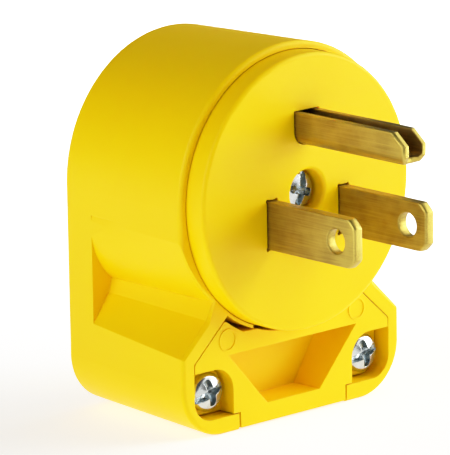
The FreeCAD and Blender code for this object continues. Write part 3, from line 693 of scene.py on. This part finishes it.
lineBlade = contactBlade("line_blade")
neutralBlade = copyOf(lineBlade)
pick(neutralBlade)
bpy.ops.object.mode_set(mode="EDIT")
bpy.ops.mesh.select_all(action="SELECT")
bpy.ops.transform.mirror(constraint_axis=(True, False, False), center_override=(0, 0, 0))
bpy.ops.mesh.remove_doubles(threshold=tiny / 100)
bpy.ops.mesh.normals_make_consistent(inside=False)
leaveEdit()
finishPiece(lineBlade, "lineBlade", brass, "line_blade")
finishPiece(neutralBlade, "neutralBlade", brass, "neutral_blade")
print("blades")


# Pale paper that glows a little, so that it stays near white. Its size is in metres.
stageLook = {"size": 3.0, "colour": "#F4F4F2", "roughness": 0.9, "glow": 0.65}
bpy.ops.mesh.primitive_plane_add(size=stageLook["size"], location=(0, 0, solidsBox[0][2]))
floor = bpy.context.object
floor.name = "floor"
floorMaterial, tree, place = newMaterial("palePaperSweep")
finishMaterial(tree, addNode(tree, "ShaderNodeBsdfPrincipled", {
    "Base Color": linear(stageLook["colour"]), "Roughness": stageLook["roughness"],
    "Emission Color": (1, 1, 1, 1), "Emission Strength": stageLook["glow"]}))
floor.data.materials.append(floorMaterial)
bpy.ops.object.select_all(action="DESELECT")

# Soft round lamps that face the object, each this far from it and this wide, in metres
lampDistance = 0.8
lampSize = 0.4
lightRig = [
    # name, azimuth, elevation, watts
    ("keyRight", 60, 12, 3.3),
    ("grazeRight", 78, 3, 2.1),
    ("rightMid", 70, 25, 1.2),
    ("rightHigh", 45, 35, 2.1),
    ("rightBack", 90, 42, 1.5),
    ("frontRight", 35, 10, 0.6),
    ("leftFront", -60, 8, 0.2),
    ("left", -100, 8, 2.85),
    ("leftHigh", -85, 30, 1.2),
]
# Lamps over the paper, which face down in a narrow cone and keep the background white
paperLamps = [
    # name, azimuth, distance on the floor, height, size, watts, cone
    ("paperBehind", 137.7, 0.38, 0.26, 0.5, 2.0, 60),
    ("paperRight", 58, 0.26, 0.25, 0.2, 1.6, 36),
]
worldGlow = 0.10


# The direction from the object towards a place given by azimuth and elevation in degrees
def towards(azimuth, elevation):
    a = math.radians(azimuth)
    e = math.radians(elevation)
    return Vector((math.sin(a) * math.cos(e), -math.cos(a) * math.cos(e), math.sin(e)))


# A round area lamp, which faces down until it is turned
def addLamp(name, place, size, watts):
    bpy.ops.object.light_add(type="AREA", location=place)
    lamp = bpy.context.object
    lamp.name = name
    lamp.data.shape = "DISK"
    lamp.data.size = size
    lamp.data.energy = watts
    return lamp


for name, azimuth, elevation, watts in lightRig:
    direction = towards(azimuth, elevation)
    lamp = addLamp(name, direction * lampDistance, lampSize, watts)
    lamp.rotation_euler = direction.to_track_quat("Z", "Y").to_euler()
for name, azimuth, distance, height, size, watts, cone in paperLamps:
    beside = towards(azimuth, 0) * distance
    lamp = addLamp(name, (beside.x, beside.y, height), size, watts)
    lamp.data.spread = math.radians(cone)
world = bpy.data.worlds.new("studio")
bpy.context.scene.world = world
world.use_nodes = True
sky = world.node_tree.nodes["Background"]
sky.inputs["Color"].default_value = (1, 1, 1, 1)
sky.inputs["Strength"].default_value = worldGlow
bpy.ops.object.select_all(action="DESELECT")
print("floor and", len(lightRig) + len(paperLamps), "lights")

# Camera at the photograph's viewpoint: angles in degrees, distance and offsets in metres,
# focal length and long side in pixels, sensor in millimetres
view = {"azimuth": -42.26, "elevation": 13.30, "roll": -0.97, "distance": 0.6243,
        "right": -0.01079, "up": -0.0044, "focal": 4822, "longSide": 455, "sensor": 36,
        "farthest": 20}
azimuth = math.radians(view["azimuth"])
roll = math.radians(view["roll"])
back = towards(view["azimuth"], view["elevation"])
level = Vector((math.cos(azimuth), math.sin(azimuth), 0))
upward = back.cross(level)
center = back * view["distance"] + level * view["right"] + upward * view["up"]
sideways = level * math.cos(roll) + upward * math.sin(roll)
upright = upward * math.cos(roll) - level * math.sin(roll)
bpy.ops.object.camera_add()
camera = bpy.context.object
camera.matrix_world = Matrix((
    (sideways.x, upright.x, back.x, center.x),
    (sideways.y, upright.y, back.y, center.y),
    (sideways.z, upright.z, back.z, center.z),
    (0, 0, 0, 1)))
camera.data.sensor_width = view["sensor"]
camera.data.lens = view["focal"] / view["longSide"] * view["sensor"]
camera.data.clip_end = view["farthest"]
bpy.context.scene.camera = camera
bpy.ops.object.select_all(action="DESELECT")

# Film response: straight up to a middle tone, then a soft shoulder, so that bright yellow
# keeps its hue
shoulder = {"white": 1.6, "points": [(0.40, 0.40), (0.61, 0.60), (0.76, 0.72), (0.97, 0.83),
                                     (1.16, 0.91), (1.34, 0.965)]}
display = bpy.context.scene.view_settings
display.view_transform = "Standard"
display.use_curve_mapping = True
display.curve_mapping.white_level = [shoulder["white"]] * 3
curve = display.curve_mapping.curves[3]
for bright, shown in shoulder["points"]:
    curve.points.new(bright / shoulder["white"], shown)
display.curve_mapping.update()
print("camera set")
